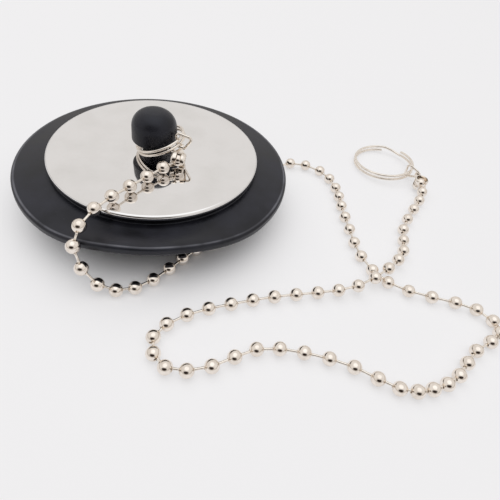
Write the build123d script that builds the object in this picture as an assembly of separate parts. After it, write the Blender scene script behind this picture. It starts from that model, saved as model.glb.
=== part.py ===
from build123d import *
import math
import os

os.makedirs("parts", exist_ok=True)

# Rubber stopper
spigot_length = 9.0
spigot_diameter = 38.0
spigot_tip_diameter = 35.0
spigot_taper_length = 4.2
spigot_tip_round = 0.8
spigot_root_round = 1.2
recess_diameter = 27.0
recess_depth = 5.5
recess_round = 1.2
flange_diameter = 70.6
flange_edge = 2.0
flange_rise = 1.4
flange_lip_round = 0.7
flange_rim_round = 0.9
boss_height = 2.0
neck_diameter = 5.6
neck_length = 3.2
head_diameter = 11.4
head_underside_rise = 0.75
head_foot_round = 0.8
head_shoulder_diameter = 11.0
head_dome_round = 5.2
head_height = 8.4

# Pressed steel cover
cover_diameter = 53.8
cover_sheet = 0.5
cover_edge_round = 1.0
cover_clearance = 0.1
skirt_clearance = 0.2
cover_hole_clearance = 0.25

# Ball chain
ball_diameter = 3.2
ball_waist_share = 0.342
ball_cap_share = 0.39
link_diameter = 0.8
link_end_clearance = 0.02
ball_sides = 8
link_sides = 6

# Clip of folded strap, two jaws round the ball and a barrel for the triangle
clip_strap = 0.35
clip_ball_clearance = 0.1
clip_jaw_width = 3.5
clip_jaw_dish = 2.5
clip_mouth = 2.1
clip_finger_gap = 1.2
clip_finger_root = 0.5
clip_shoulder_width = 2.8
clip_neck_length = 1.75
clip_barrel_width = 0.8
clip_barrel_clearance = 0.2

# Wire triangle that joins a clip to its split ring
triangle_wire = 0.7
triangle_height = 3.9
triangle_base = 4.7
triangle_tip = 1.7
triangle_base_round = 0.8
triangle_tip_round = 0.45

# Split rings, two turns of wire that cross over in one short ramp
wire_sides = 8
ring_ramp_start = 340
ring_ramp_end = 380
neck_ring_wire = 0.62
neck_ring_gap = 0.41
neck_ring_radius = 6.19
end_ring_wire = 0.8
end_ring_gap = 0.41
end_ring_radius = 9.4

# Where the loose pieces lie, bearings run from +X towards +Y, lifts upwards, in degrees
floor_clearance = 0.02
neck_ring_centre = (1.64, -0.21, 18.15)
neck_ring_lean = 21.3
neck_ring_turn = 120
neck_tip = (7.34, -1.92, 18.14)
neck_clip_bearing = 92.5
neck_clip_lift = 9.0
neck_clip_roll = 10.0
neck_triangle_bearing = -33.0
neck_triangle_lift = 77.3
neck_triangle_roll = -61.7
end_ring_centre = (67.9, 34.0)
end_ring_lift = 5.0
end_ring_turn = 83
end_tip_reach = 2.4
end_tip_bearing = -28.0
end_clip_bearing = 92.0
upright_roll = 90.0

# Route of the chain between the two clips, control points of a quadratic curve
route_points = [
    (4.6, -9.3, 16.64), (-0.8, -18.9, 16.64), (-6.3, -28.3, 16.8), (-9.4, -37.4, 12.7),
    (-5.7, -37.7, 1.62), (4.9, -36.5, 1.62), (9.5, -28.5, 1.62), (14.6, -20.4, 1.62),
    (22.5, -13.3, 1.62), (27.5, -3.8, 1.62), (27.8, 6.6, 1.62), (29.4, 17.3, 1.62),
    (36.4, 25.8, 1.62), (47.2, 23.8, 1.62), (51.8, 15.2, 1.62), (52.8, 7.0, 1.62),
    (54.9, -3.1, 1.62), (57.1, -13.3, 1.62), (63.3, -21.7, 1.62), (74.5, -23.5, 1.62),
    (86.0, -24.3, 1.62), (91.0, -31.3, 1.62), (81.6, -37.1, 1.62), (77.1, -45.0, 1.62),
    (70.5, -49.3, 1.62), (63.7, -50.8, 1.62), (54.4, -46.4, 1.62), (43.5, -45.1, 1.62),
    (33.2, -45.6, 1.62), (25.3, -52.6, 1.62), (15.4, -55.3, 1.62), (10.5, -47.5, 1.62),
    (17.2, -40.3, 1.62), (26.5, -35.7, 1.62), (36.0, -31.4, 1.62), (46.3, -28.1, 1.62),
    (56.1, -25.2, 2.6), (64.5, -17.0, 2.9), (70.0, -8.6, 1.7), (69.8, 0.5, 1.62),
    (75.0, 11.1, 1.62), (79.6, 20.4, 1.8),
]
balls_per_span = 2

# Stretches of the chain, each ends at the ball of this number
stretches = [
    ("over_cover", 5), ("over_rim", 10), ("under_flange", 24), ("back_run", 35), ("right_loop", 48),
    ("near_run", 58), ("left_loop", 66), ("return_run", 75), ("end_run", 84),
]


def turned_body(corners, rounds):
    """Body of revolution about Z from corners in radius and height, some of them rounded."""
    outline = make_face(Polyline(*corners, close=True))
    for corner, radius in rounds:
        outline = fillet(outline.vertices().sort_by_distance((*corner, 0))[0], radius)
    return revolve(Plane.XZ * outline, axis=Axis.Z)


# Heights and radii that follow from the sizes above
flange_z = spigot_length
rim_z = flange_z + flange_edge
shoulder_z = rim_z + flange_rise
boss_z = shoulder_z + boss_height
cover_under_z = boss_z + cover_clearance
cover_z = cover_under_z + cover_sheet
skirt_z = shoulder_z + skirt_clearance
head_z = boss_z + neck_length
head_top_z = head_z + head_height
spigot_radius = spigot_diameter / 2
spigot_tip_radius = spigot_tip_diameter / 2
recess_radius = recess_diameter / 2
flange_radius = flange_diameter / 2
cover_radius = cover_diameter / 2
boss_radius = cover_radius - cover_sheet - cover_clearance
shoulder_radius = cover_radius + skirt_clearance
neck_radius = neck_diameter / 2
head_radius = head_diameter / 2
head_shoulder_radius = head_shoulder_diameter / 2
cover_hole_radius = neck_radius + cover_hole_clearance

# Rubber stopper: recessed spigot, flange, boss, neck and knob in one moulding
foot_z = head_z + head_underside_rise
recess_corner = (recess_radius, recess_depth)
tip_corner = (spigot_tip_radius, 0)
root_corner = (spigot_radius, flange_z)
lip_corner = (flange_radius, flange_z)
rim_corner = (flange_radius, rim_z)
foot_corner = (head_radius, foot_z)
dome_corner = (head_shoulder_radius, head_top_z)
boss_corner = (boss_radius, boss_z)
cover_bend_round = cover_edge_round - cover_sheet
rubber_stopper = turned_body(
    [
        (0, recess_depth),
        recess_corner,
        (recess_radius, 0),
        tip_corner,
        (spigot_radius, spigot_taper_length),
        root_corner,
        lip_corner,
        rim_corner,
        (shoulder_radius, shoulder_z),
        (boss_radius, shoulder_z),
        boss_corner,
        (neck_radius, boss_z),
        (neck_radius, head_z),
        foot_corner,
        dome_corner,
        (0, head_top_z),
    ],
    [
        (recess_corner, recess_round),
        (tip_corner, spigot_tip_round),
        (root_corner, spigot_root_round),
        (lip_corner, flange_lip_round),
        (rim_corner, flange_rim_round),
        (boss_corner, cover_bend_round),
        (foot_corner, head_foot_round),
        (dome_corner, head_dome_round),
    ],
)

# Steel cover: flat disc with a rolled edge, a skirt round the boss and a hole for the neck
edge_corner = (cover_radius, cover_z)
bend_corner = (cover_radius - cover_sheet, cover_under_z)
steel_cover = turned_body(
    [
        (cover_radius, skirt_z),
        (cover_radius - cover_sheet, skirt_z),
        bend_corner,
        (cover_hole_radius, cover_under_z),
        (cover_hole_radius, cover_z),
        edge_corner,
    ],
    [(edge_corner, cover_edge_round), (bend_corner, cover_bend_round)],
)


def biarc(start, start_way, end, end_way):
    """Two arcs that leave the start and reach the end in the given directions."""
    across = end - start
    turn = 2 * (1 - start_way.dot(end_way))
    lean = across.dot(start_way + end_way)
    reach = (-lean + math.sqrt(lean * lean + turn * across.dot(across))) / turn
    middle = (start + end + (start_way - end_way) * reach) * 0.5
    first = TangentArc(start, middle, tangent=start_way)
    return [first, TangentArc(middle, end, tangent=first % 1)]


def wire_tube(path, wire):
    """Wire of the given diameter along a path, drawn with flat sides."""
    outline = RegularPolygon(wire / 2, wire_sides, major_radius=False)
    section = Plane(origin=path @ 0, z_dir=path % 0) * outline
    return sweep(section, path=path)


def split_ring(radius, wire, gap):
    """Two turns of wire about the origin, one over the other, and the least gap between them."""
    pitch = wire + gap

    def knot(angle, level):
        turned = math.radians(angle)
        way = Vector(-math.sin(turned), math.cos(turned), 0)
        return Vector(math.cos(turned) * radius, math.sin(turned) * radius, level * pitch / 2), way

    halfway = (ring_ramp_end + ring_ramp_start) / 2 - 180
    lower = [knot(angle, -1) for angle in (ring_ramp_end - 360, halfway, ring_ramp_start)]
    upper = [knot(angle, 1) for angle in (ring_ramp_end, halfway + 360, ring_ramp_start + 360)]
    arcs = []
    for turn in (lower, upper):
        if arcs:
            arcs += biarc(*lower[-1], *upper[0])
        for (start, start_way), (end, _) in zip(turn, turn[1:]):
            arcs.append(TangentArc(start, end, tangent=start_way))
    samples = []
    for arc in arcs:
        steps = max(2, round(arc.length / wire))
        samples += [arc @ (step / steps) for step in range(steps)]
    apart = math.pi * radius
    run = [0]
    for first, second in zip(samples, samples[1:]):
        run.append(run[-1] + (second - first).length)
    pairs = [(i, j) for i in range(len(samples)) for j in range(i) if run[i] - run[j] > apart]
    least = min((samples[i] - samples[j]).length for i, j in pairs) - wire
    return wire_tube(Wire(arcs), wire), least


def lying_plane(origin, bearing, lift, roll):
    """Plane whose X points along the bearing and lift, rolled about that direction."""
    return Plane(Location(origin) * Rotation(0, 0, bearing) * Rotation(0, -lift, 0) * Rotation(roll, 0, 0))


# Split ring round the neck, it leans up to the right
neck_ring_body, neck_ring_least = split_ring(neck_ring_radius, neck_ring_wire, neck_ring_gap)
neck_ring_plane = lying_plane(neck_ring_centre, 0, neck_ring_lean, 0)
neck_split_ring = neck_ring_plane * Rotation(0, 0, neck_ring_turn) * neck_ring_body

# Split ring at the chain's end, one side on the table and the other on its triangle
end_ring_body, end_ring_least = split_ring(end_ring_radius, end_ring_wire, end_ring_gap)
end_ring_tilt = math.radians(end_ring_lift)
end_ring_rise = (end_ring_radius + end_ring_wire / 2) * math.sin(end_ring_tilt)
end_ring_z = end_ring_rise + (end_ring_wire + end_ring_gap / 2) * math.cos(end_ring_tilt) + floor_clearance
end_ring_plane = lying_plane((*end_ring_centre, end_ring_z), end_tip_bearing, end_ring_lift, 0)
end_split_ring = end_ring_plane * Rotation(0, 0, end_ring_turn) * end_ring_body
print("least gap in the neck ring", round(neck_ring_least, 3))
print("least gap in the end ring", round(end_ring_least, 3))

# Clip in its own frame: ball centre at the origin, barrel along X, plates facing up and down
ball_radius = ball_diameter / 2
jaw_inner = ball_radius + clip_ball_clearance
jaw_outer = jaw_inner + clip_strap
barrel_inner = triangle_wire / 2 + clip_barrel_clearance
barrel_outer = barrel_inner + clip_strap
barrel_x = jaw_outer + clip_neck_length + barrel_outer
jaw_profile = Plane.XZ * (Circle(jaw_outer) - Circle(jaw_inner))
jaws = extrude(jaw_profile, clip_jaw_width / 2, both=True) & Sphere(clip_jaw_dish)
mouth = Pos(-jaw_outer, 0, 0) * Box(2 * jaw_outer, clip_jaw_width, clip_mouth)
finger_length = jaw_outer + clip_finger_root
finger_gap = Pos(-jaw_outer + finger_length / 2, 0, 0) * Box(finger_length, clip_finger_gap, 2 * jaw_outer)
neck_outline = make_face(
    Polyline(
        (jaw_inner, clip_shoulder_width / 2),
        (jaw_outer + clip_strap, clip_shoulder_width / 2),
        (barrel_x - barrel_outer, clip_barrel_width / 2),
        (barrel_x, clip_barrel_width / 2),
        (barrel_x, -clip_barrel_width / 2),
        (barrel_x - barrel_outer, -clip_barrel_width / 2),
        (jaw_outer + clip_strap, -clip_shoulder_width / 2),
        (jaw_inner, -clip_shoulder_width / 2),
        close=True,
    )
)
neck_strap = extrude(neck_outline, clip_strap, both=True)
barrel_profile = Plane.XZ * Pos(barrel_x, 0) * Circle(barrel_outer)
barrel = extrude(barrel_profile, clip_barrel_width / 2, both=True)
bore = extrude(Plane.XZ * Pos(barrel_x, 0) * Circle(barrel_inner), clip_barrel_width, both=True)
clip = jaws - mouth - finger_gap + neck_strap + barrel - bore - Sphere(jaw_inner)

# Wire triangle in its own frame: tip at the origin, base along X
triangle_path = FilletPolyline(
    (0, triangle_tip / 2),
    (triangle_height, triangle_base / 2),
    (triangle_height, -triangle_base / 2),
    (0, -triangle_tip / 2),
    radius=[triangle_tip_round, triangle_base_round, triangle_base_round, triangle_tip_round],
    close=True,
)
triangle = wire_tube(triangle_path, triangle_wire)


def clip_plane(tip, bearing, lift, roll):
    """Plane of a clip whose barrel is at the given tip of a triangle."""
    turn = lying_plane(tip, bearing, lift, roll)
    return Plane(turn.origin - turn.x_dir * barrel_x, turn.x_dir, turn.z_dir)


# Clip and triangle at the neck, the triangle stands up with the ring through it
neck_clip_plane = clip_plane(neck_tip, neck_clip_bearing, neck_clip_lift, neck_clip_roll)
neck_clip = neck_clip_plane * clip
neck_triangle_plane = lying_plane(neck_tip, neck_triangle_bearing, neck_triangle_lift, neck_triangle_roll)
neck_triangle = neck_triangle_plane * triangle

# Clip and triangle at the end, the ring's wire runs through the triangle
end_tip_way = math.radians(end_tip_bearing)
end_tip_radius = end_ring_radius + end_tip_reach
end_tip_z = max(clip_jaw_width, triangle_base + triangle_wire) / 2
end_tip = (
    end_ring_centre[0] + end_tip_radius * math.cos(end_tip_way),
    end_ring_centre[1] + end_tip_radius * math.sin(end_tip_way),
    end_tip_z + floor_clearance,
)
end_clip_plane = clip_plane(end_tip, end_clip_bearing, 0, upright_roll)
end_clip = end_clip_plane * clip
end_triangle = lying_plane(end_tip, end_tip_bearing + 180, 0, upright_roll) * triangle

# Chain: balls at even steps along the route, a short link between each two
first_ball = neck_clip_plane.origin
last_ball = end_clip_plane.origin
route = [first_ball] + [Vector(*point) for point in route_points] + [last_ball]
spans = len(route) - 2


def route_point(place):
    """Point of the quadratic curve, place runs from 0 to the number of its spans."""
    span = min(int(place), spans - 1)
    part = place - span
    first, second, third = route[span:span + 3]
    if span > 0:
        first = (first + second) * 0.5
    if span < spans - 1:
        third = (second + third) * 0.5
    return first * (1 - part) ** 2 + second * (2 * part * (1 - part)) + third * part ** 2


centres = [route_point(step / balls_per_span) for step in range(spans * balls_per_span + 1)]
pitches = [(second - first).length for first, second in zip(centres, centres[1:])]
print("balls", len(centres), "chain length", round(sum(pitches) + ball_diameter, 1))
print("pitch from", round(min(pitches), 2), "to", round(max(pitches), 2))

# One ball and its flat ends, drawn once and set in place along the chain
waist_rise = ball_radius * ball_waist_share
waist_radius = math.sqrt(ball_radius ** 2 - waist_rise ** 2)
cap_radius = ball_radius * ball_cap_share
cap_rise = math.sqrt(ball_radius ** 2 - cap_radius ** 2)
bearings = [2 * math.pi * side / ball_sides for side in range(ball_sides)]
levels = [
    [(radius * math.cos(bearing), radius * math.sin(bearing), rise) for bearing in bearings]
    for radius, rise in [
        (cap_radius, -cap_rise),
        (waist_radius, -waist_rise),
        (waist_radius, waist_rise),
        (cap_radius, cap_rise),
    ]
]
outlines = [levels[0], levels[-1]]
for below, above in zip(levels, levels[1:]):
    for side in range(ball_sides):
        outlines.append([below[side - 1], below[side], above[side], above[side - 1]])
ball_body = Solid(Shell([Face(Wire.make_polygon(outline)) for outline in outlines]))


def chain_ball(index):
    """Ball of this number, its flat ends face its neighbours."""
    before = centres[max(index - 1, 0)]
    after = centres[min(index + 1, len(centres) - 1)]
    return Plane(centres[index], z_dir=(after - before).normalized()) * ball_body


def chain_link(index):
    """Link from this ball to the next, it stops just short of both."""
    way = centres[index + 1] - centres[index]
    reach = ball_radius + link_end_clearance
    start = centres[index] + way.normalized() * reach
    section = Plane(start, z_dir=way.normalized()) * RegularPolygon(link_diameter / 2, link_sides)
    return extrude(section, way.length - 2 * reach).solid()


nodes = {
    "rubber_stopper": rubber_stopper,
    "steel_cover": steel_cover,
    "neck_split_ring": neck_split_ring,
    "neck_clip": neck_clip,
    "neck_triangle": neck_triangle,
    "end_clip": end_clip,
    "end_triangle": end_triangle,
    "end_split_ring": end_split_ring,
}
first_index = 0
for name, last_index in stretches:
    balls = [chain_ball(index) for index in range(first_index, last_index + 1)]
    links = [chain_link(index) for index in range(first_index, min(last_index + 1, len(centres) - 1))]
    nodes["chain_balls_" + name] = Compound(children=balls)
    nodes["chain_links_" + name] = Compound(children=links)
    first_index = last_index + 1

for name, shape in nodes.items():
    export_step(shape, "parts/" + name + ".step")
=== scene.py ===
"""Drain stopper with a steel cover, ball chain and split rings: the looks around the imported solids."""

import logging
from dataclasses import dataclass, field
from enum import Enum
from typing import Any, Sequence

import bmesh
import bpy
import numpy as np
from mathutils import Matrix, Vector


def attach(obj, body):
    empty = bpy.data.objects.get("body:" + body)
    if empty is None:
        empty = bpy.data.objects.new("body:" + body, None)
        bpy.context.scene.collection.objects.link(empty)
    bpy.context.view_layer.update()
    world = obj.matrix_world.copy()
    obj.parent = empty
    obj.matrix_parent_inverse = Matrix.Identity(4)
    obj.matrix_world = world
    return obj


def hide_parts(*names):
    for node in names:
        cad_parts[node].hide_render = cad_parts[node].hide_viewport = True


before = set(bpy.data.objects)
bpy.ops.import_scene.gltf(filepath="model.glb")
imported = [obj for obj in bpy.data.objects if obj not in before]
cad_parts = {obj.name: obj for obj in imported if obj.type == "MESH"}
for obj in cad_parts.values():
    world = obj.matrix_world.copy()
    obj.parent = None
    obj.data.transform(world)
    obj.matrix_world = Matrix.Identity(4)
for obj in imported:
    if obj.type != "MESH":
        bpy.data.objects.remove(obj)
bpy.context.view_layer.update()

log = logging.getLogger("drain_stopper")
MM = 0.001
Pair = tuple[float, float]
Triple = tuple[float, float, float]


class Body(Enum):
    """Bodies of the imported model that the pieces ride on."""

    STOPPER = "stopper"
    COVER = "cover"
    NECK_RING = "neck_ring"
    NECK_LINK = "neck_link"
    END_CLIP = "end_clip_body"
    END_LINK = "end_link"
    END_RING = "end_ring"


class Slot(Enum):
    """Material slots of the record."""

    RUBBER = "rubber"
    COVER = "cover_steel"
    WIRE = "wire_steel"
    CHAIN = "chain_steel"


# Colours and nodes


def linear(code: str) -> tuple[float, float, float, float]:
    """Turns an sRGB hex value into linear light.

    Args:
        code: six hex digits after a hash sign.

    Returns:
        Linear red, green and blue, and an alpha of 1.
    """
    srgb = np.array([int(code[i:i + 2], 16) for i in (1, 3, 5)]) / 255
    light = np.where(srgb <= 0.04045, srgb / 12.92, ((srgb + 0.055) / 1.055) ** 2.4)
    return (*light.tolist(), 1.0)


def add_node(
    tree: bpy.types.NodeTree, kind: str, inputs: dict[Any, Any] | None = None, **settings: Any
) -> Any:
    """Adds one node with its settings and links.

    Args:
        tree: the node tree that it goes into.
        kind: Blender's name of the node's type.
        inputs: input's name or number to its value, or to the output socket that feeds it.
        settings: values of the node's own properties.

    Returns:
        The new node.
    """
    made = tree.nodes.new(kind)
    for name, value in settings.items():
        setattr(made, name, value)
    for name, value in (inputs or {}).items():
        if isinstance(value, bpy.types.NodeSocket):
            tree.links.new(value, made.inputs[name])
        else:
            made.inputs[name].default_value = value
    return made


def per_metre(size_mm: float) -> float:
    """Noise scale for a pattern whose grains are this many millimetres apart."""
    return 1000.0 / size_mm


def blank_material(name: str) -> tuple[bpy.types.Material, Any, Any]:
    """Makes a material that holds one principled shader.

    Args:
        name: the material's name.

    Returns:
        The material, its node tree and its principled node.
    """
    material = bpy.data.materials.new(name)
    material.use_nodes = True
    tree = material.node_tree
    return material, tree, tree.nodes["Principled BSDF"]


@dataclass(frozen=True)
class MouldedRubber:
    """Black nitrile rubber from a polished mould: deep black, a soft sheen, a thin bloom and a few specks.

    Each spread is the part of the noise's range over which a look passes from one value to the other.
    """

    name: str = "moulded_black_nitrile_rubber"
    deep: str = "#0B0B0E"
    bloom: str = "#222229"
    dust: str = "#3C3C40"
    # Colour of the painted highlight round the flange's upper edge
    rim_highlight: str = "#68686E"
    sheen_tint: str = "#E4E7F4"
    specular: float = 0.42
    roughness: Pair = (0.30, 0.46)
    roughness_spread: Pair = (0.3, 0.7)
    bloom_mm: float = 7.0
    bloom_spread: Pair = (0.35, 0.7)
    speck_mm: float = 2.2
    speck_reach: float = 0.08
    speck_share: float = 0.6
    # Radius, width and strength of the painted highlight round the flange's upper edge
    edge_mm: float = 34.65
    edge_width_mm: Pair = (0.08, 0.34)
    rim_highlight_share: Pair = (0.25, 0.9)
    edge_spread: Pair = (0.38, 0.62)
    grain_mm: float = 0.5
    grain_depth_mm: float = 0.02
    grain_strength: float = 0.12

    def material(self) -> bpy.types.Material:
        """Builds the node material.

        Returns:
            The finished material.
        """
        material, tree, shader = blank_material(self.name)
        shader.inputs["Specular IOR Level"].default_value = self.specular
        shader.inputs["Specular Tint"].default_value = linear(self.sheen_tint)
        place = add_node(tree, "ShaderNodeTexCoord").outputs["Object"]
        bloom = add_node(
            tree, "ShaderNodeTexNoise", {"Vector": place, "Scale": per_metre(self.bloom_mm), "Detail": 4.0}
        ).outputs["Fac"]
        start, end = self.bloom_spread
        cloud = add_node(
            tree, "ShaderNodeMapRange", {"Value": bloom, "From Min": start, "From Max": end}
        ).outputs["Result"]
        body = add_node(
            tree, "ShaderNodeMix", {0: cloud, 6: linear(self.deep), 7: linear(self.bloom)}, data_type="RGBA"
        ).outputs[2]
        # Dust is far finer than a pixel, so its specks are drawn as large as they need to show
        cells = add_node(tree, "ShaderNodeTexVoronoi", {"Vector": place, "Scale": per_metre(self.speck_mm)})
        specks = add_node(
            tree, "ShaderNodeMapRange",
            {
                "Value": cells.outputs["Distance"], "From Max": self.speck_reach,
                "To Min": self.speck_share, "To Max": 0.0,
            },
        ).outputs["Result"]
        dusted = add_node(
            tree, "ShaderNodeMix", {0: specks, 6: body, 7: linear(self.dust)}, data_type="RGBA"
        ).outputs[2]
        # Painted highlight: a thin pale line is painted round the flange's upper edge, standing in for the
        # light that its rounded rim catches
        flat = add_node(
            tree, "ShaderNodeVectorMath", {0: place, 1: (1.0, 1.0, 0.0)}, operation="MULTIPLY"
        ).outputs[0]
        from_axis = add_node(tree, "ShaderNodeVectorMath", {0: flat}, operation="LENGTH").outputs["Value"]
        from_edge = add_node(
            tree, "ShaderNodeMath", {0: from_axis, 1: self.edge_mm * MM}, operation="SUBTRACT"
        ).outputs[0]
        apart = add_node(tree, "ShaderNodeMath", {0: from_edge}, operation="ABSOLUTE").outputs[0]
        start, end = self.edge_spread
        least, most = self.rim_highlight_share
        share = add_node(
            tree, "ShaderNodeMapRange",
            {"Value": bloom, "From Min": start, "From Max": end, "To Min": least, "To Max": most},
        ).outputs["Result"]
        full, gone = self.edge_width_mm
        wear_and_painted_highlight = add_node(
            tree, "ShaderNodeMapRange",
            {"Value": apart, "From Min": full * MM, "From Max": gone * MM, "To Min": share, "To Max": 0.0},
        ).outputs["Result"]
        colour = add_node(
            tree, "ShaderNodeMix", {0: wear_and_painted_highlight, 6: dusted, 7: linear(self.rim_highlight)}, data_type="RGBA"
        ).outputs[2]
        start, end = self.roughness_spread
        low, high = self.roughness
        satin = add_node(
            tree, "ShaderNodeMapRange",
            {"Value": bloom, "From Min": start, "From Max": end, "To Min": low, "To Max": high},
        ).outputs["Result"]
        # The mould's own grain is a few hundredths of a millimetre and is drawn ten times as coarse
        grain = add_node(
            tree, "ShaderNodeTexNoise", {"Vector": place, "Scale": per_metre(self.grain_mm), "Detail": 2.0}
        ).outputs["Fac"]
        bump = add_node(
            tree, "ShaderNodeBump",
            {"Height": grain, "Strength": self.grain_strength, "Distance": self.grain_depth_mm * MM},
        ).outputs["Normal"]
        tree.links.new(colour, shader.inputs["Base Color"])
        tree.links.new(satin, shader.inputs["Roughness"])
        tree.links.new(bump, shader.inputs["Normal"])
        return material


@dataclass(frozen=True)
class BrightMetal:
    """Bright metal: its reflections are a little soft, with faint marks from handling.

    Each spread is the part of the noise's range over which a look passes from one value to the other.
    """

    name: str
    colour: str
    worn: str
    roughness: Pair
    mark_mm: float
    wave_mm: float
    wave_depth_mm: float
    wave_strength: float = 0.2
    wear_spread: Pair = (0.4, 0.75)
    haze_spread: Pair = (0.35, 0.75)

    def material(self) -> bpy.types.Material:
        """Builds the node material.

        Returns:
            The finished material.
        """
        material, tree, shader = blank_material(self.name)
        shader.inputs["Metallic"].default_value = 1.0
        place = add_node(tree, "ShaderNodeTexCoord").outputs["Object"]
        marks = add_node(
            tree, "ShaderNodeTexNoise", {"Vector": place, "Scale": per_metre(self.mark_mm), "Detail": 5.0}
        ).outputs["Fac"]
        start, end = self.wear_spread
        wear_and_painted_highlight = add_node(
            tree, "ShaderNodeMapRange", {"Value": marks, "From Min": start, "From Max": end}
        ).outputs["Result"]
        tint = add_node(
            tree, "ShaderNodeMix", {0: wear_and_painted_highlight, 6: linear(self.colour), 7: linear(self.worn)}, data_type="RGBA"
        ).outputs[2]
        start, end = self.haze_spread
        low, high = self.roughness
        haze = add_node(
            tree, "ShaderNodeMapRange",
            {"Value": marks, "From Min": start, "From Max": end, "To Min": low, "To Max": high},
        ).outputs["Result"]
        waves = add_node(
            tree, "ShaderNodeTexNoise", {"Vector": place, "Scale": per_metre(self.wave_mm), "Detail": 1.0}
        ).outputs["Fac"]
        bump = add_node(
            tree, "ShaderNodeBump",
            {"Height": waves, "Strength": self.wave_strength, "Distance": self.wave_depth_mm * MM},
        ).outputs["Normal"]
        tree.links.new(tint, shader.inputs["Base Color"])
        tree.links.new(haze, shader.inputs["Roughness"])
        tree.links.new(bump, shader.inputs["Normal"])
        return material


# Stainless sheet, pressed and mirror polished: near neutral and almost still reflections
POLISHED_SHEET = BrightMetal(
    "mirror_polished_stainless_sheet", "#F0EFEF", "#E8E7E6", (0.03, 0.08), mark_mm=9.0, wave_mm=14.0,
    wave_depth_mm=0.02,
)
# Nickel on pressed steel balls: a warm pale grey, small dents blur each ball's reflection a little
NICKEL_BALLS = BrightMetal(
    "nickel_plated_steel_balls", "#F6EEE5", "#E6DCD1", (0.06, 0.14), mark_mm=1.2, wave_mm=1.4,
    wave_depth_mm=0.03,
)
# Nickel on drawn steel wire: a warm pale grey, with drawing marks that soften its shine
NICKEL_WIRE = BrightMetal(
    "nickel_plated_steel_wire", "#F6EFE6", "#E6DDD3", (0.09, 0.20), mark_mm=0.8, wave_mm=0.6,
    wave_depth_mm=0.02,
)


# Surfaces


def grid_faces(rows: int, columns: int, wrap_rows: bool, wrap_columns: bool) -> np.ndarray:
    """Works out the four-sided faces between neighbouring points of a grid.

    Args:
        rows: number of rows of points.
        columns: number of points in each row.
        wrap_rows: whether the last row joins the first.
        wrap_columns: whether each row's last point joins its first.

    Returns:
        Four point numbers for each face.
    """
    near = np.arange(rows if wrap_rows else rows - 1)[:, None]
    left = np.arange(columns if wrap_columns else columns - 1)[None, :]
    far, right = (near + 1) % rows, (left + 1) % columns
    corners = (near * columns + left, near * columns + right, far * columns + right, far * columns + left)
    spread = [np.broadcast_to(corner, (near.size, left.size)) for corner in corners]
    return np.stack(spread, axis=-1).reshape(-1, 4)


def spin(profile: np.ndarray, sides: int) -> np.ndarray:
    """Turns a profile about Z: each point (r, z) gives the points (r cos a, r sin a, z).

    Args:
        profile: radius and height of each point.
        sides: steps of the turn.

    Returns:
        The points, one row round the axis after the other.
    """
    angle = np.linspace(0, 2 * np.pi, sides, endpoint=False)
    ring = profile[:, None, :1] * np.stack([np.cos(angle), np.sin(angle)], axis=-1)
    height = np.broadcast_to(profile[:, None, 1:], (len(profile), sides, 1))
    return np.concatenate([ring, height], axis=-1).reshape(-1, 3)


def make_piece(
    name: str, points: np.ndarray, faces: list[list[int]], sharp: float = 40.0
) -> bpy.types.Object:
    """Puts points and faces into a smooth shaded mesh object at the origin.

    Args:
        name: the piece's name.
        points: positions in millimetres.
        faces: point numbers of each face.
        sharp: angle in degrees past which an edge stays sharp.

    Returns:
        The new object, linked to the scene.
    """
    mesh = bpy.data.meshes.new(name)
    mesh.from_pydata((points * MM).tolist(), [], faces)
    mesh.validate()
    mesh.shade_smooth()
    mesh.set_sharp_from_angle(angle=np.radians(sharp))
    piece = bpy.data.objects.new(name, mesh)
    bpy.context.scene.collection.objects.link(piece)
    return piece


def rounded_profile(corners: Sequence[Triple], steps: int) -> np.ndarray:
    """Rounds the corners of a polygon, each with an arc tangent to its two sides.

    The arc's centre lies on the line that halves the corner's angle, radius / sin(half angle) from it.

    Args:
        corners: two coordinates of each corner in order, and the radius of its arc, 0 where it is sharp.
        steps: points on each arc.

    Returns:
        Two coordinates of each point of the outline.
    """
    outline = []
    places, arcs = np.split(np.array(corners, float), [2], axis=1)
    for number, (corner, arc) in enumerate(zip(places, arcs[:, 0])):
        if arc == 0:
            outline.append(corner[None])
            continue
        before = places[number - 1] - corner
        after = places[(number + 1) % len(places)] - corner
        before, after = before / np.linalg.norm(before), after / np.linalg.norm(after)
        half = np.arccos(np.clip(before @ after, -1, 1)) / 2
        middle = (before + after) / np.linalg.norm(before + after)
        centre = corner + middle * arc / np.sin(half)
        swing = np.linspace(-1, 1, steps)[:, None] * (np.pi / 2 - half)
        side = (before - after) / np.linalg.norm(before - after)
        outline.append(centre - arc * (np.cos(swing) * middle + np.sin(swing) * side))
    return np.concatenate(outline)


def fine_profile(profile: np.ndarray, step: float) -> np.ndarray:
    """Divides an outline's long runs, so that the surface over them can bend.

    Args:
        profile: radius and height of each point.
        step: longest run that stays whole.

    Returns:
        The outline with points added evenly along its long runs.
    """
    parts = []
    for start, end in zip(profile, profile[1:]):
        count = max(1, round(np.linalg.norm(end - start) / step))
        parts.append(start + (end - start) * np.linspace(0, 1, count, endpoint=False)[:, None])
    return np.concatenate([*parts, profile[-1:]])


def lathe(profile: np.ndarray, closed: bool, segments: int = 180) -> tuple[np.ndarray, list[list[int]]]:
    """Turns a profile about Z to a surface, whose points on the axis are joined to one.

    Args:
        profile: radius and height of each point, from the axis to the axis unless it is closed.
        closed: whether the profile's last point joins its first.
        segments: steps of the turn.

    Returns:
        The points and the faces.
    """
    points = spin(profile, segments)
    faces = grid_faces(len(profile), segments, closed, True)
    if closed:
        return points, faces.tolist()
    number = np.arange(len(points)).reshape(-1, segments)
    number[0], number[-1] = number[0, 0], number[-1, 0]
    kept, place = np.unique(number, return_inverse=True)
    joined = place.reshape(-1)[faces]
    return points[kept], [list(dict.fromkeys(face)) for face in joined.tolist()]


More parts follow.
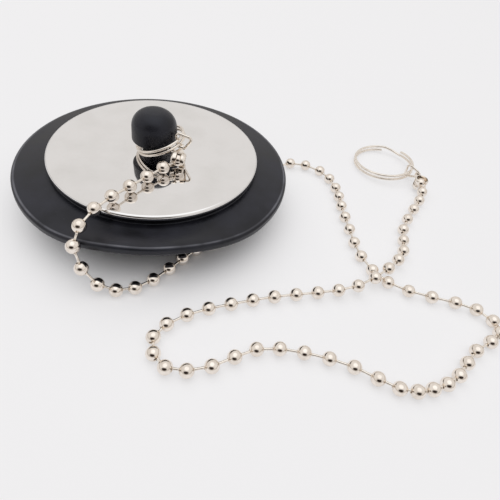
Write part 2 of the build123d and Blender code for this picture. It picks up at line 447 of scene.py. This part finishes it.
def carry(
    path: np.ndarray, radius: np.ndarray, closed: bool, sides: int = 16
) -> tuple[np.ndarray, list[list[int]]]:
    """Carries a circle along a path: point + radius (cos a u + sin a v), u and v square to the path.

    Args:
        path: points of the centreline in millimetres.
        radius: the wire's radius at each point.
        closed: whether the path's last point joins its first.
        sides: points round the wire.

    Returns:
        The points and the faces, with capped ends where the path is open.
    """
    ahead = np.roll(path, -1, axis=0) - np.roll(path, 1, axis=0)
    if not closed:
        ahead[0], ahead[-1] = path[1] - path[0], path[-1] - path[-2]
    ahead /= np.linalg.norm(ahead, axis=1, keepdims=True)
    flat = path - path.mean(axis=0)
    normal = np.linalg.svd(flat, full_matrices=False)[2][2]
    across = np.cross(ahead, normal)
    across /= np.linalg.norm(across, axis=1, keepdims=True)
    up = np.cross(across, ahead)
    angle = np.linspace(0, 2 * np.pi, sides, endpoint=False)[None, :, None]
    around = np.cos(angle) * across[:, None] + np.sin(angle) * up[:, None]
    rings = path[:, None] + radius[:, None, None] * around
    faces = grid_faces(len(path), sides, closed, True)[:, ::-1].tolist()
    if not closed:
        last = (len(path) - 1) * sides
        faces += [list(range(sides)), list(range(last + sides - 1, last - 1, -1))]
    return rings.reshape(-1, 3), faces


@dataclass(frozen=True)
class Placement:
    """Place and directions of a loose piece, bearings from +X towards +Y and lifts upwards, in degrees."""

    origin: Triple
    bearing: float
    lift: float
    roll: float = 0.0

    def apply(self, points: np.ndarray) -> np.ndarray:
        """Moves points from the piece's own frame into the model's: first roll, then lift, then bearing.

        Args:
            points: positions in the piece's own frame.

        Returns:
            Positions in the model's frame.
        """
        bearing, lift, roll = (
            Matrix.Rotation(np.radians(angle), 3, axis)
            for angle, axis in ((self.bearing, "Z"), (-self.lift, "Y"), (self.roll, "X"))
        )
        return points @ np.array(bearing @ lift @ roll).T + np.array(self.origin)


# Parts of the plug


@dataclass
class Part:
    """One visible piece: its name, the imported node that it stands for, its body and its slot."""

    name: str
    node: str
    body: Body
    slot: Slot

    def build(self) -> bpy.types.Object:
        """Makes the piece, which each kind of part does in its own way."""
        raise NotImplementedError

    def dress(self, finish: bpy.types.Material) -> bpy.types.Object:
        """Builds the piece, gives it its finish and body, and lets it stand for its node.

        Args:
            finish: the material.

        Returns:
            The finished piece.
        """
        piece = self.build()
        piece.data.materials.append(finish)
        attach(piece, self.body.value)
        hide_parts(self.node)
        log.info("%s: %d faces on %s", piece.name, len(piece.data.polygons), self.body.value)
        return piece


@dataclass
class RubberStopper(Part):
    """Recessed spigot, flange, boss, neck and pull knob in one moulding, in millimetres."""

    name: str = "rubber_plug_body"
    node: str = "rubber_stopper"
    body: Body = Body.STOPPER
    slot: Slot = Slot.RUBBER
    spigot_radius: float = 19.0
    tip_radius: float = 17.5
    taper: float = 4.2
    recess_radius: float = 13.5
    recess_depth: float = 5.5
    flange_radius: float = 35.3
    flange_z: float = 9.0
    rim_z: float = 11.0
    shoulder_radius: float = 27.1
    shoulder_z: float = 12.4
    boss_radius: float = 26.3
    boss_z: float = 14.4
    neck_radius: float = 2.8
    head_z: float = 17.6
    foot_radius: float = 5.7
    foot_rise: float = 0.75
    crown_radius: float = 5.5
    crown_z: float = 26.0
    crown_rise: float = 0.35
    recess_round: float = 1.2
    mouth_round: float = 0.25
    tip_round: float = 0.8
    taper_round: float = 1.5
    root_round: float = 1.2
    rim_round: float = 0.7
    step_round: float = 0.3
    boss_round: float = 0.5
    neck_round: float = 0.3
    foot_round: float = 0.45
    dome_round: float = 4.1
    rim_lift: float = 2.2
    lift_from: float = 27.6
    lift_bearings: tuple[float, float, float, float] = (-122.0, -84.0, -72.0, -30.0)

    def profile(self) -> np.ndarray:
        """Works out the outline from the recess round the flange to the top of the knob.

        Returns:
            Radius and height of each point.
        """
        corners = [
            (0, self.recess_depth, 0),
            (self.recess_radius, self.recess_depth, self.recess_round),
            (self.recess_radius, 0, self.mouth_round),
            (self.tip_radius, 0, self.tip_round),
            (self.spigot_radius, self.taper, self.taper_round),
            (self.spigot_radius, self.flange_z, self.root_round),
            (self.flange_radius, self.flange_z, self.rim_round),
            (self.flange_radius, self.rim_z, self.rim_round),
            (self.shoulder_radius, self.shoulder_z, 0),
            (self.boss_radius, self.shoulder_z, self.step_round),
            (self.boss_radius, self.boss_z, self.boss_round),
            (self.neck_radius, self.boss_z, 0),
            (self.neck_radius, self.head_z, self.neck_round),
            (self.foot_radius, self.head_z + self.foot_rise, self.foot_round),
            (self.crown_radius, self.crown_z - self.crown_rise, self.dome_round),
            (0, self.crown_z, 0),
        ]
        return fine_profile(rounded_profile(corners, steps=14), step=0.8)

    def lift_rim(self, points: np.ndarray) -> np.ndarray:
        """Raises the soft rim in front, where the plug rests on its own chain.

        A point rises by the lift times two smooth steps: one over its radius, from the shoulder to the rim,
        and one over its bearing, up and down again between the four bearings.

        Args:
            points: positions of the moulding's points.

        Returns:
            The positions after the lift.
        """
        radius = np.hypot(points[:, 0], points[:, 1])
        bearing = np.degrees(np.arctan2(points[:, 1], points[:, 0]))
        start, full, fading, end = self.lift_bearings
        outward = np.clip((radius - self.lift_from) / (self.flange_radius - self.lift_from), 0, 1)
        entering = np.clip((bearing - start) / (full - start), 0, 1)
        leaving = np.clip((end - bearing) / (end - fading), 0, 1)
        share = np.prod([part * part * (3 - 2 * part) for part in (outward, entering, leaving)], axis=0)
        raised = points.copy()
        raised[:, 2] += self.rim_lift * share
        return raised

    def build(self) -> bpy.types.Object:
        """Makes the moulding, its profile turned about Z and its front rim lifted."""
        points, faces = lathe(self.profile(), closed=False)
        return make_piece(self.name, self.lift_rim(points), faces, sharp=30)


@dataclass
class SteelCover(Part):
    """Pressed disc with a rolled edge, a short skirt and a hole for the neck, in millimetres."""

    name: str = "steel_cover_disc"
    node: str = "steel_cover"
    body: Body = Body.COVER
    slot: Slot = Slot.COVER
    radius: float = 26.9
    top_z: float = 15.0
    sheet: float = 0.5
    skirt_z: float = 13.9
    hole_radius: float = 3.05
    edge_round: float = 0.75
    cut_round: float = 0.12
    hole_rounds: Pair = (0.1, 0.15)

    def build(self) -> bpy.types.Object:
        """Makes the cover: the outline of the sheet's section, turned about Z.

        Returns:
            The finished piece.
        """
        inside = self.radius - self.sheet
        under = self.top_z - self.sheet
        lower, upper = self.hole_rounds
        corners = [
            (self.radius, self.skirt_z, self.cut_round), (inside, self.skirt_z, self.cut_round),
            (inside, under, self.edge_round - self.sheet), (self.hole_radius, under, lower),
            (self.hole_radius, self.top_z, upper), (self.radius, self.top_z, self.edge_round),
        ]
        # The corners run clockwise, and the reversed outline gives faces that point outwards
        points, faces = lathe(rounded_profile(corners, steps=10)[::-1], closed=True, segments=240)
        return make_piece(self.name, points, faces, sharp=30)


@dataclass
class SplitRing(Part):
    """Two turns of round wire, one over the other, that cross in one short ramp: millimetres and degrees."""

    radius: float
    wire: float
    place: Placement
    gap: float = 0.41
    ramp: Pair = (340.0, 380.0)
    turned: float = 0.0
    steps: int = 420
    tip_share: float = 0.72
    tip_length: float = 2.5

    def build(self) -> bpy.types.Object:
        """Makes the ring: height follows a smooth step over the ramp, the ends taper a little.

        Returns:
            The finished piece.
        """
        start, end = self.ramp
        angle = np.linspace(end - 360, start + 360, self.steps)
        share = np.clip((angle - start) / (end - start), 0, 1)
        level = (share * share * (3 - 2 * share) - 0.5) * (self.wire + self.gap)
        turn = np.radians(angle + self.turned)
        path = np.stack([self.radius * np.cos(turn), self.radius * np.sin(turn), level], axis=-1)
        near = np.minimum(angle - angle[0], angle[-1] - angle) / self.tip_length
        thick = self.wire / 2 * (self.tip_share + (1 - self.tip_share) * np.sqrt(np.clip(near, 0, 1)))
        points, faces = carry(self.place.apply(path), thick, closed=False)
        return make_piece(self.name, points, faces, sharp=50)


@dataclass
class WireTriangle(Part):
    """Wire bent to a triangle with round corners, its tip in the clip and its base on the ring, in mm."""

    place: Placement
    wire: float = 0.7
    height: float = 3.9
    base: float = 4.7
    tip: float = 1.7
    base_round: float = 0.8
    tip_round: float = 0.45
    step: float = 0.25

    def build(self) -> bpy.types.Object:
        """Makes the triangle.

        Returns:
            The finished piece.
        """
        corners = [
            (0, self.tip / 2, self.tip_round), (self.height, self.base / 2, self.base_round),
            (self.height, -self.base / 2, self.base_round), (0, -self.tip / 2, self.tip_round),
        ]
        flat = rounded_profile(corners, steps=12)
        path = np.column_stack([flat, np.zeros(len(flat))])
        ends = np.concatenate([path, path[:1]])
        parts = [
            np.linspace(start, end, max(2, int(np.linalg.norm(end - start) / self.step) + 1))[:-1]
            for start, end in zip(ends, ends[1:])
        ]
        smooth = np.concatenate(parts)
        points, faces = carry(self.place.apply(smooth), np.full(len(smooth), self.wire / 2), closed=True)
        return make_piece(self.name, points, faces, sharp=50)


@dataclass
class StrapClip(Part):
    """Folded strap that grips the last ball at one end of the chain: millimetres and degrees."""

    merge_within: float = 0.002
    flat_within: float = 1.0
    sharp: float = 35.0

    def build(self) -> bpy.types.Object:
        """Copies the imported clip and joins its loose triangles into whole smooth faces.

        Returns:
            The finished piece.
        """
        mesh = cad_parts[self.node].data.copy()
        mesh.materials.clear()
        work = bmesh.new()
        work.from_mesh(mesh)
        bmesh.ops.remove_doubles(work, verts=work.verts, dist=self.merge_within * MM)
        bmesh.ops.dissolve_limit(
            work, angle_limit=np.radians(self.flat_within), verts=work.verts, edges=work.edges
        )
        work.to_mesh(mesh)
        work.free()
        mesh.shade_smooth()
        mesh.set_sharp_from_angle(angle=np.radians(self.sharp))
        piece = bpy.data.objects.new(self.name, mesh)
        bpy.context.scene.collection.objects.link(piece)
        return piece


# Route of the chain between the two clips, control points of a quadratic curve, in millimetres
CHAIN_ROUTE: list[Triple] = [
    (7.54, -6.56, 17.41), (4.6, -9.3, 16.64), (-0.8, -18.9, 16.64), (-5.9, -28.3, 17.1),
    (-8.8, -37.2, 13.4), (-3.5, -37.9, 1.62), (4.9, -36.5, 1.62), (10.8, -28.2, 1.62),
    (15.0, -20.6, 1.62), (22.5, -13.3, 1.62), (27.5, -3.8, 1.62), (27.8, 6.6, 1.62),
    (29.4, 17.3, 1.62), (36.4, 25.8, 1.62), (47.2, 23.8, 1.62), (51.8, 15.2, 1.62),
    (52.8, 7.0, 1.62), (54.9, -3.1, 1.62), (57.1, -13.3, 1.62), (63.3, -21.7, 1.62),
    (74.5, -23.5, 1.62), (86.0, -24.3, 1.62), (91.0, -31.3, 1.62), (81.6, -37.1, 1.62),
    (77.1, -45.0, 1.62), (70.5, -49.3, 1.62), (63.7, -50.8, 1.62), (54.4, -46.4, 1.62),
    (43.5, -45.1, 1.62), (33.2, -45.6, 1.62), (25.3, -52.6, 1.62), (15.4, -55.3, 1.62),
    (10.5, -47.5, 1.62), (17.2, -40.3, 1.62), (26.5, -35.7, 1.62), (36.0, -31.4, 1.62),
    (46.3, -28.1, 1.62), (56.1, -25.2, 2.6), (64.5, -17.0, 2.9), (70.0, -8.6, 1.7),
    (69.8, 0.5, 1.62), (75.0, 11.1, 1.62), (79.6, 20.4, 1.8), (78.48, 23.76, 2.72),
]


@dataclass
class BallChain:
    """Hollow balls on short wire links that follow the route's smooth curve, in millimetres."""

    ball_radius: float = 1.6
    hole_radius: float = 0.42
    link_radius: float = 0.36
    link_overlap: float = 0.9
    lip_radius: float = 0.336
    lip_depth: float = 0.12
    balls_per_span: int = 2
    line_steps: int = 24
    ball_rows: int = 15
    ball_sides: int = 20
    link_sides: int = 10
    sharp: float = 60.0
    centreline: np.ndarray = field(default_factory=lambda: np.zeros((0, 3)))

    def read_route(self) -> None:
        """Draws the NURBS line that the listed points pull, and keeps its points as the centreline."""
        curve = bpy.data.curves.new("chain_route", "CURVE")
        curve.dimensions = "3D"
        spline = curve.splines.new("NURBS")
        spline.points.add(len(CHAIN_ROUTE) - 1)
        route = np.column_stack([np.array(CHAIN_ROUTE) * MM, np.ones(len(CHAIN_ROUTE))])
        spline.points.foreach_set("co", route.ravel())
        spline.order_u = 3
        spline.use_endpoint_u = True
        spline.resolution_u = self.line_steps
        carrier = bpy.data.objects.new("chain_route", curve)
        line = bpy.data.meshes.new_from_object(carrier)
        found = np.zeros(len(line.vertices) * 3)
        line.vertices.foreach_get("co", found)
        bpy.data.objects.remove(carrier)
        bpy.data.curves.remove(curve)
        bpy.data.meshes.remove(line)
        self.centreline = found.reshape(-1, 3) / MM

    def ball_centres(self) -> np.ndarray:
        """Sets the balls at even steps of the curve's own parameter, as slack leaves them in the photograph.

        Returns:
            Centre of each ball in millimetres.
        """
        spans = len(CHAIN_ROUTE) - 2
        place = np.linspace(0, len(self.centreline) - 1, spans * self.balls_per_span + 1)
        known = np.arange(len(self.centreline))
        return np.stack([np.interp(place, known, self.centreline[:, axis]) for axis in range(3)], axis=-1)

    def ball_shape(self) -> tuple[np.ndarray, np.ndarray]:
        """Makes one ball about its own Z: a sphere whose ends turn in round the two wire holes.

        Returns:
            The points and the faces.
        """
        rise = np.arccos(self.hole_radius / self.ball_radius)
        tilt = np.linspace(-rise, rise, self.ball_rows)
        outer = np.stack([np.cos(tilt), np.sin(tilt)], axis=-1) * self.ball_radius
        lip = np.array([[self.lip_radius, outer[-1, 1] - self.lip_depth]])
        profile = np.concatenate([lip * [1, -1], outer, lip])
        return spin(profile, self.ball_sides), grid_faces(len(profile), self.ball_sides, False, True)

    def link_shape(self) -> tuple[np.ndarray, np.ndarray]:
        """Makes one link of length 1 about its own Z: a wire that swells to a head inside each ball.

        Returns:
            The points and the faces.
        """
        half = np.array([[0.55, 0.5], [1.0, 0.42], [0.86, 0.2], [0.82, 0.0]])
        profile = np.concatenate([half * [1, -1], half[-2::-1]]) * [self.link_radius, 1]
        return spin(profile, self.link_sides), grid_faces(len(profile), self.link_sides, False, True)

    def frames(self, way: np.ndarray) -> np.ndarray:
        """Turns directions into frames whose third axis is the direction.

        Args:
            way: unit direction of each frame.

        Returns:
            One matrix for each direction, its columns are the axes.
        """
        side = np.cross(way, [0.0, 0.0, 1.0])
        flat = np.linalg.norm(side, axis=1) < 0.1
        side[flat] = np.cross(way[flat], [1.0, 0.0, 0.0])
        side /= np.linalg.norm(side, axis=1, keepdims=True)
        return np.stack([side, np.cross(way, side), way], axis=-1)

    def repeat(
        self, shape: np.ndarray, faces: np.ndarray, turns: np.ndarray, places: np.ndarray
    ) -> tuple[np.ndarray, np.ndarray]:
        """Sets copies of a shape: each point p becomes turn p + place.

        Args:
            shape: the shape's points.
            faces: its faces.
            turns: one matrix for each copy.
            places: one position for each copy.

        Returns:
            All points and all faces.
        """
        points = np.einsum("nij,kj->nki", turns, shape) + places[:, None]
        shift = (np.arange(len(places)) * len(shape))[:, None, None]
        return points.reshape(-1, 3), (faces[None] + shift).reshape(-1, faces.shape[1])

    def build(self) -> bpy.types.Object:
        """Makes the chain as one mesh, balls first and then links, and dresses each in its own metal.

        Returns:
            The finished piece, with a second material place for the links.
        """
        self.read_route()
        centres = self.ball_centres()
        along = np.vstack([centres[1:], centres[-1:]]) - np.vstack([centres[:1], centres[:-1]])
        along /= np.linalg.norm(along, axis=1, keepdims=True)
        balls, ball_faces = self.repeat(*self.ball_shape(), self.frames(along), centres)
        gap = centres[1:] - centres[:-1]
        reach = np.linalg.norm(gap, axis=1)
        # A link runs a little way into both balls, so its length is the gap between them and a bit more
        stretch = np.ones((len(reach), 1, 3))
        stretch[:, 0, 2] = reach - 2 * self.ball_radius + self.link_overlap
        turns = self.frames(gap / reach[:, None]) * stretch
        links, link_faces = self.repeat(*self.link_shape(), turns, (centres[1:] + centres[:-1]) / 2)
        faces = np.concatenate([ball_faces, link_faces + len(balls)])
        piece = make_piece("ball_chain", np.concatenate([balls, links]), faces.tolist(), self.sharp)
        piece.data.materials.append(NICKEL_BALLS.material())
        piece.data.materials.append(NICKEL_WIRE.material())
        which = np.repeat([0, 1], [len(ball_faces), len(link_faces)])
        piece.data.polygons.foreach_set("material_index", which)
        log.info("%s: %d balls and %d links", piece.name, len(centres), len(gap))
        return piece

    def dress(self) -> bpy.types.Object:
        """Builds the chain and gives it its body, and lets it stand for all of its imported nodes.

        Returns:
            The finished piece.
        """
        piece = self.build()
        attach(piece, Body.STOPPER.value)
        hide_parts(*sorted(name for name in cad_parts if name.startswith("chain_")))
        return piece

    def length(self) -> float:
        """Length of the centreline in millimetres."""
        return float(np.linalg.norm(np.diff(self.centreline, axis=0), axis=1).sum())


# Studio


@dataclass
class PhotoCamera:
    """Camera of the photograph, in the model's frame, in millimetres."""

    place: Triple = (28.73, -100.13, 82.63)
    right: Triple = (0.98641, 0.11504, 0.11727)
    up: Triple = (-0.16427, 0.69078, 0.70416)
    lens: float = 32.81
    sensor: float = 36.0
    nearest: float = 5.0
    farthest: float = 20000.0

    def build(self) -> bpy.types.Object:
        """Makes the scene's camera.

        Returns:
            The camera object.
        """
        data = bpy.data.cameras.new("photo_camera")
        data.lens, data.sensor_width = self.lens, self.sensor
        data.clip_start, data.clip_end = self.nearest * MM, self.farthest * MM
        camera = bpy.data.objects.new("photo_camera", data)
        right, up = Vector(self.right).normalized(), Vector(self.up)
        up = (up - right * up.dot(right)).normalized()
        turn = Matrix((right, up, right.cross(up))).transposed().to_4x4()
        camera.matrix_world = Matrix.Translation(Vector(self.place) * MM) @ turn
        bpy.context.scene.collection.objects.link(camera)
        bpy.context.scene.camera = camera
        return camera


@dataclass(frozen=True)
class SoftBox:
    """Square lamp: its place, the point that it faces and its side in metres, and its power in watts."""

    name: str
    place: Triple
    aim: Triple
    side: float
    power: float

    def build(self) -> None:
        """Hangs the lamp."""
        data = bpy.data.lights.new(self.name, "AREA")
        data.energy, data.size = self.power, self.side
        lamp = bpy.data.objects.new(self.name, data)
        # The metal mirrors the room alone, whose white ceiling stands for the soft boxes
        lamp.visible_glossy = False
        lamp.location = self.place
        lamp.rotation_euler = (Vector(self.aim) - Vector(self.place)).to_track_quat("-Z", "Y").to_euler()
        bpy.context.scene.collection.objects.link(lamp)


@dataclass
class Studio:
    """Pale table, white surroundings and two soft boxes."""

    table: str = "#F1F0F1"
    table_side_m: float = 4.0
    table_roughness: float = 0.6
    table_specular: float = 0.15
    # Painted light: the table's glow near the plug and far from it
    table_glow: Pair = (0.0, 0.6)
    glow_from_mm: Pair = (24.0, 44.0)
    wall: str = "#E8E5E2"
    skirting: str = "#BCB5AE"
    skirting_rise: Pair = (0.04, 0.3)
    ceiling: str = "#FFFFFF"
    ceiling_rise: Pair = (0.80, 0.92)
    ceiling_strength: float = 1.15
    dark: str = "#2A211C"
    dark_way: Triple = (0.0, -0.90, 0.56)
    dark_stretch: Triple = (0.5, 0.92, 1.08)
    dark_edge: Pair = (0.3, 0.5)
    fill: str = "#FFFFFF"
    fill_rise: Pair = (0.3, 0.8)
    fill_strength: float = 1.16
    key: SoftBox = SoftBox("key_soft_box", (-0.28, 0.42, 0.62), (0.02, -0.01, 0.0), side=0.55, power=0.7)
    top: SoftBox = SoftBox("top_soft_box", (0.05, -0.05, 0.85), (0.03, -0.01, 0.0), side=0.7, power=1.0)

    def build_table(self) -> None:
        """Makes the table top, a plain sheet just under the object."""
        half = self.table_side_m / 2 / MM
        corners = np.array([(x * half, y * half, -0.01) for x, y in ((-1, -1), (1, -1), (1, 1), (-1, 1))])
        floor = make_piece("table_top", corners, [[0, 1, 2, 3]])
        material, tree, shader = blank_material("matt_white_table")
        shader.inputs["Base Color"].default_value = linear(self.table)
        shader.inputs["Roughness"].default_value = self.table_roughness
        shader.inputs["Specular IOR Level"].default_value = self.table_specular
        # Painted light and shade: the camera and the metal see the table glow, not at all near the plug's
        # axis and more and more further out, so it shows paler away from the plug and darker near it than
        # its lighting makes it
        path = add_node(tree, "ShaderNodeLightPath")
        seen = add_node(
            tree, "ShaderNodeMath", {0: path.outputs["Is Camera Ray"], 1: path.outputs["Is Glossy Ray"]},
            operation="ADD",
        )
        place = add_node(tree, "ShaderNodeTexCoord").outputs["Object"]
        from_axis = add_node(tree, "ShaderNodeVectorMath", {0: place}, operation="LENGTH").outputs["Value"]
        near, far = self.glow_from_mm
        least, most = self.table_glow
        glow = add_node(
            tree, "ShaderNodeMapRange",
            {
                "Value": from_axis, "From Min": near * MM, "From Max": far * MM,
                "To Min": least, "To Max": most,
            },
            interpolation_type="SMOOTHSTEP",
        ).outputs["Result"]
        share = add_node(
            tree, "ShaderNodeMath", {0: seen.outputs[0], 1: glow}, operation="MULTIPLY", use_clamp=True
        )
        pale = add_node(tree, "ShaderNodeEmission", {"Color": linear(self.table), "Strength": 1.0})
        mixed = add_node(
            tree, "ShaderNodeMixShader", {0: share.outputs[0], 1: shader.outputs[0], 2: pale.outputs[0]}
        )
        tree.links.new(mixed.outputs[0], tree.nodes["Material Output"].inputs["Surface"])
        floor.data.materials.append(material)

    def build_world(self) -> None:
        """Sets the surroundings: white light from above, a lit room for reflections.

        The room is white overhead and pale behind the object. It is greyer in a low band all round, and
        dark in a round patch on the camera's side, which the balls and the knob mirror.
        """
        world = bpy.data.worlds.new("studio")
        bpy.context.scene.world = world
        world.use_nodes = True
        tree = world.node_tree
        tree.nodes.clear()
        way = add_node(tree, "ShaderNodeTexCoord").outputs["Generated"]
        rise = add_node(tree, "ShaderNodeSeparateXYZ", {"Vector": way}).outputs["Z"]
        stretched = add_node(
            tree, "ShaderNodeVectorMath", {0: way, 1: self.dark_stretch}, operation="MULTIPLY"
        ).outputs["Vector"]
        apart = add_node(
            tree, "ShaderNodeVectorMath", {0: stretched, 1: self.dark_way}, operation="DISTANCE"
        ).outputs["Value"]
        above_band, beside_patch, overhead = (
            add_node(
                tree, "ShaderNodeMapRange", {"Value": value, "From Min": start, "From Max": end}
            ).outputs["Result"]
            for value, (start, end) in (
                (rise, self.skirting_rise), (apart, self.dark_edge), (rise, self.ceiling_rise)
            )
        )
        brightness = add_node(
            tree, "ShaderNodeMapRange", {"Value": overhead, "To Min": 1.0, "To Max": self.ceiling_strength}
        ).outputs["Result"]
        upper = add_node(
            tree, "ShaderNodeMix", {0: overhead, 6: linear(self.wall), 7: linear(self.ceiling)},
            data_type="RGBA",
        ).outputs[2]
        walls = add_node(
            tree, "ShaderNodeMix", {0: above_band, 6: linear(self.skirting), 7: upper}, data_type="RGBA"
        ).outputs[2]
        room = add_node(
            tree, "ShaderNodeMix", {0: beside_patch, 6: linear(self.dark), 7: walls}, data_type="RGBA"
        ).outputs[2]
        path = add_node(tree, "ShaderNodeLightPath")
        seen = add_node(tree, "ShaderNodeBackground", {"Color": linear(self.table), "Strength": 1.0})
        mirrored = add_node(tree, "ShaderNodeBackground", {"Color": room, "Strength": brightness})
        # The room's light comes from above, so little of it reaches under the flange
        start, end = self.fill_rise
        from_above = add_node(
            tree, "ShaderNodeMapRange",
            {"Value": rise, "From Min": start, "From Max": end, "To Max": self.fill_strength},
        ).outputs["Result"]
        fill = add_node(tree, "ShaderNodeBackground", {"Color": linear(self.fill), "Strength": from_above})
        glossy = add_node(
            tree, "ShaderNodeMixShader",
            {0: path.outputs["Is Glossy Ray"], 1: fill.outputs[0], 2: mirrored.outputs[0]},
        )
        clear = add_node(
            tree, "ShaderNodeMath",
            {0: path.outputs["Is Camera Ray"], 1: path.outputs["Is Transmission Ray"]}, operation="ADD",
        )
        both = add_node(
            tree, "ShaderNodeMixShader", {0: clear.outputs[0], 1: glossy.outputs[0], 2: seen.outputs[0]}
        )
        add_node(tree, "ShaderNodeOutputWorld", {"Surface": both.outputs[0]})

    def build(self) -> None:
        """Makes the table, the surroundings and the lamps."""
        self.build_table()
        self.build_world()
        self.key.build()
        self.top.build()
        bpy.context.scene.view_settings.view_transform = "Standard"


def dress_links() -> list[bpy.types.Object]:
    """Builds the rings, wire triangles and clips.

    Returns:
        The pieces at the chain's far end.
    """
    parts = (
        SplitRing(
            "neck_ring_wire", "neck_split_ring", Body.NECK_RING, Slot.WIRE, radius=6.19, wire=0.7,
            place=Placement((1.64, -0.21, 18.15), bearing=0, lift=21.3), gap=0.33, turned=120,
        ),
        WireTriangle(
            "neck_triangle_wire", "neck_triangle", Body.NECK_LINK, Slot.WIRE,
            place=Placement((7.34, -1.92, 18.14), bearing=-33.0, lift=77.3, roll=-61.7),
        ),
        StrapClip("neck_clip_strap", "neck_clip", Body.STOPPER, Slot.WIRE),
        StrapClip("end_clip_strap", "end_clip", Body.END_CLIP, Slot.WIRE),
        WireTriangle(
            "end_triangle_wire", "end_triangle", Body.END_LINK, Slot.WIRE,
            place=Placement((78.319, 28.46, 2.72), bearing=152, lift=0, roll=90),
        ),
        SplitRing(
            "end_ring_wire", "end_split_ring", Body.END_RING, Slot.WIRE, radius=9.4, wire=0.8,
            place=Placement((67.9, 34.0, 1.875), bearing=-28.0, lift=5.0), turned=95,
        ),
    )
    wire = NICKEL_WIRE.material()
    pieces = [part.dress(wire) for part in parts]
    # The last three hang on the chain's far end
    return pieces[3:]


def main() -> None:
    """Builds the camera, the chain, the plug and its links, and the studio."""
    logging.basicConfig(level=logging.INFO, format="%(name)s: %(message)s")
    PhotoCamera().build()
    chain = BallChain()
    chain_piece = chain.dress()
    far_pieces = dress_links()
    RubberStopper().dress(MouldedRubber().material())
    SteelCover().dress(POLISHED_SHEET.material())
    log.info("chain length %.1f mm", chain.length())
    Studio().build()


if __name__ == "__main__":
    main()
